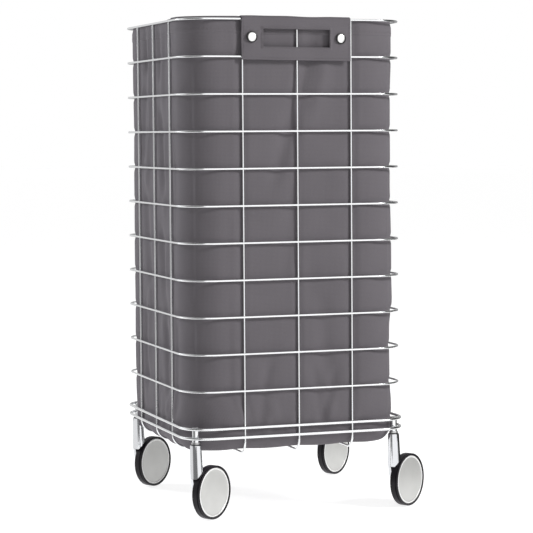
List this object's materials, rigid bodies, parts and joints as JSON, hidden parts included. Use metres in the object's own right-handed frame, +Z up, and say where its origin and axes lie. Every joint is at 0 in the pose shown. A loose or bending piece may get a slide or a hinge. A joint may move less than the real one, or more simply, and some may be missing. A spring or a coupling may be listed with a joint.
{
  "type": "laundry cart",
  "caption": "Tall square laundry cart: a chromed wire cage on swivel casters, holding a fabric bag whose snap-fastened handle flaps fold over the top hoop.",
  "frame": {"origin": "on the floor under the middle of the wire cage", "axes": "+Z up, -Y towards the front handle flap, +X to the right seen from the front"},
  "size_m": [0.3725, 0.3561, 0.6942],
  "materials": {
    "chrome_wire": "bright chrome plate",
    "zinc_steel": "zinc plated steel",
    "black_plastic": "moulded",
    "tyre_rubber": "matt",
    "pale_disc": "satin",
    "grey_cloth": "plain weave"
  },
  "bodies": {
    "cage": {"wire_hoop_01": "chrome_wire", "wire_hoop_02": "chrome_wire", "wire_hoop_03": "chrome_wire", "wire_hoop_04": "chrome_wire", "wire_hoop_05": "chrome_wire", "wire_hoop_06": "chrome_wire", "wire_hoop_07": "chrome_wire", "wire_hoop_08": "chrome_wire", "wire_hoop_09": "chrome_wire", "wire_hoop_10": "chrome_wire", "wire_hoop_11": "chrome_wire", "base_hoop_upper": "chrome_wire", "base_hoop_lower": "chrome_wire", "long_wire_front_rear_1": "chrome_wire", "long_wire_front_rear_2": "chrome_wire", "long_wire_front_rear_3": "chrome_wire", "long_wire_left_right_1": "chrome_wire", "long_wire_left_right_2": "chrome_wire", "long_wire_left_right_3": "chrome_wire", "socket_front_left": "chrome_wire", "socket_front_right": "chrome_wire", "socket_rear_left": "chrome_wire", "socket_rear_right": "chrome_wire", "stem_front_left": "zinc_steel", "stem_front_right": "zinc_steel", "stem_rear_left": "zinc_steel", "stem_rear_right": "zinc_steel", "stem_grip_rings": "zinc_steel", "bag_body": "grey_cloth", "front_snap_studs": "zinc_steel", "rear_snap_studs": "zinc_steel"},
    "swivel_front_left": {"fork_front_left": "chrome_wire", "bush_front_left": "black_plastic", "axle_front_left": "zinc_steel"},
    "swivel_front_right": {"fork_front_right": "chrome_wire", "bush_front_right": "black_plastic", "axle_front_right": "zinc_steel"},
    "swivel_rear_left": {"fork_rear_left": "chrome_wire", "bush_rear_left": "black_plastic", "axle_rear_left": "zinc_steel"},
    "swivel_rear_right": {"fork_rear_right": "chrome_wire", "bush_rear_right": "black_plastic", "axle_rear_right": "zinc_steel"},
    "wheel_front_left": {"wheel_core_front_left": "black_plastic", "tyre_front_left": "tyre_rubber", "face_disc_front_left": "pale_disc"},
    "wheel_front_right": {"wheel_core_front_right": "black_plastic", "tyre_front_right": "tyre_rubber", "face_disc_front_right": "pale_disc"},
    "wheel_rear_left": {"wheel_core_rear_left": "black_plastic", "tyre_rear_left": "tyre_rubber", "face_disc_rear_left": "pale_disc"},
    "wheel_rear_right": {"wheel_core_rear_right": "black_plastic", "tyre_rear_right": "tyre_rubber", "face_disc_rear_right": "pale_disc"},
    "front_flap": {"front_handle_flap": "grey_cloth", "front_snap_caps": "chrome_wire"},
    "rear_flap": {"rear_handle_flap": "grey_cloth", "rear_snap_caps": "chrome_wire"}
  },
  "joints": [
    {"name": "swivel_front_left_turn", "type": "hinge", "parent": "cage", "child": "swivel_front_left", "pos_m": [-0.1472, -0.1472, 0.09], "axis": [0, 0, 1], "continuous": true},
    {"name": "swivel_front_right_turn", "type": "hinge", "parent": "cage", "child": "swivel_front_right", "pos_m": [0.1472, -0.1472, 0.09], "axis": [0, 0, 1], "continuous": true},
    {"name": "swivel_rear_left_turn", "type": "hinge", "parent": "cage", "child": "swivel_rear_left", "pos_m": [-0.1472, 0.1472, 0.09], "axis": [0, 0, 1], "continuous": true},
    {"name": "swivel_rear_right_turn", "type": "hinge", "parent": "cage", "child": "swivel_rear_right", "pos_m": [0.1472, 0.1472, 0.09], "axis": [0, 0, 1], "continuous": true},
    {"name": "wheel_front_left_roll", "type": "hinge", "parent": "swivel_front_left", "child": "wheel_front_left", "pos_m": [-0.123, -0.12981, 0.0375], "axis": [0.5835, -0.8121, 0], "continuous": true},
    {"name": "wheel_front_right_roll", "type": "hinge", "parent": "swivel_front_right", "child": "wheel_front_right", "pos_m": [0.1714, -0.12981, 0.0375], "axis": [0.5835, -0.8121, 0], "continuous": true},
    {"name": "wheel_rear_left_roll", "type": "hinge", "parent": "swivel_rear_left", "child": "wheel_rear_left", "pos_m": [-0.123, 0.16459, 0.0375], "axis": [0.5835, -0.8121, 0], "continuous": true},
    {"name": "wheel_rear_right_roll", "type": "hinge", "parent": "swivel_rear_right", "child": "wheel_rear_right", "pos_m": [0.1714, 0.16459, 0.0375], "axis": [0.5835, -0.8121, 0], "continuous": true},
    {"name": "front_flap_lift", "type": "hinge", "parent": "cage", "child": "front_flap", "pos_m": [-0.0025, -0.1654, 0.6934], "axis": [-1, 0, 0], "range_deg": [0, 180]},
    {"name": "rear_flap_lift", "type": "hinge", "parent": "cage", "child": "rear_flap", "pos_m": [0.0025, 0.1654, 0.6934], "axis": [1, 0, 0], "range_deg": [0, 180]}
  ]
}
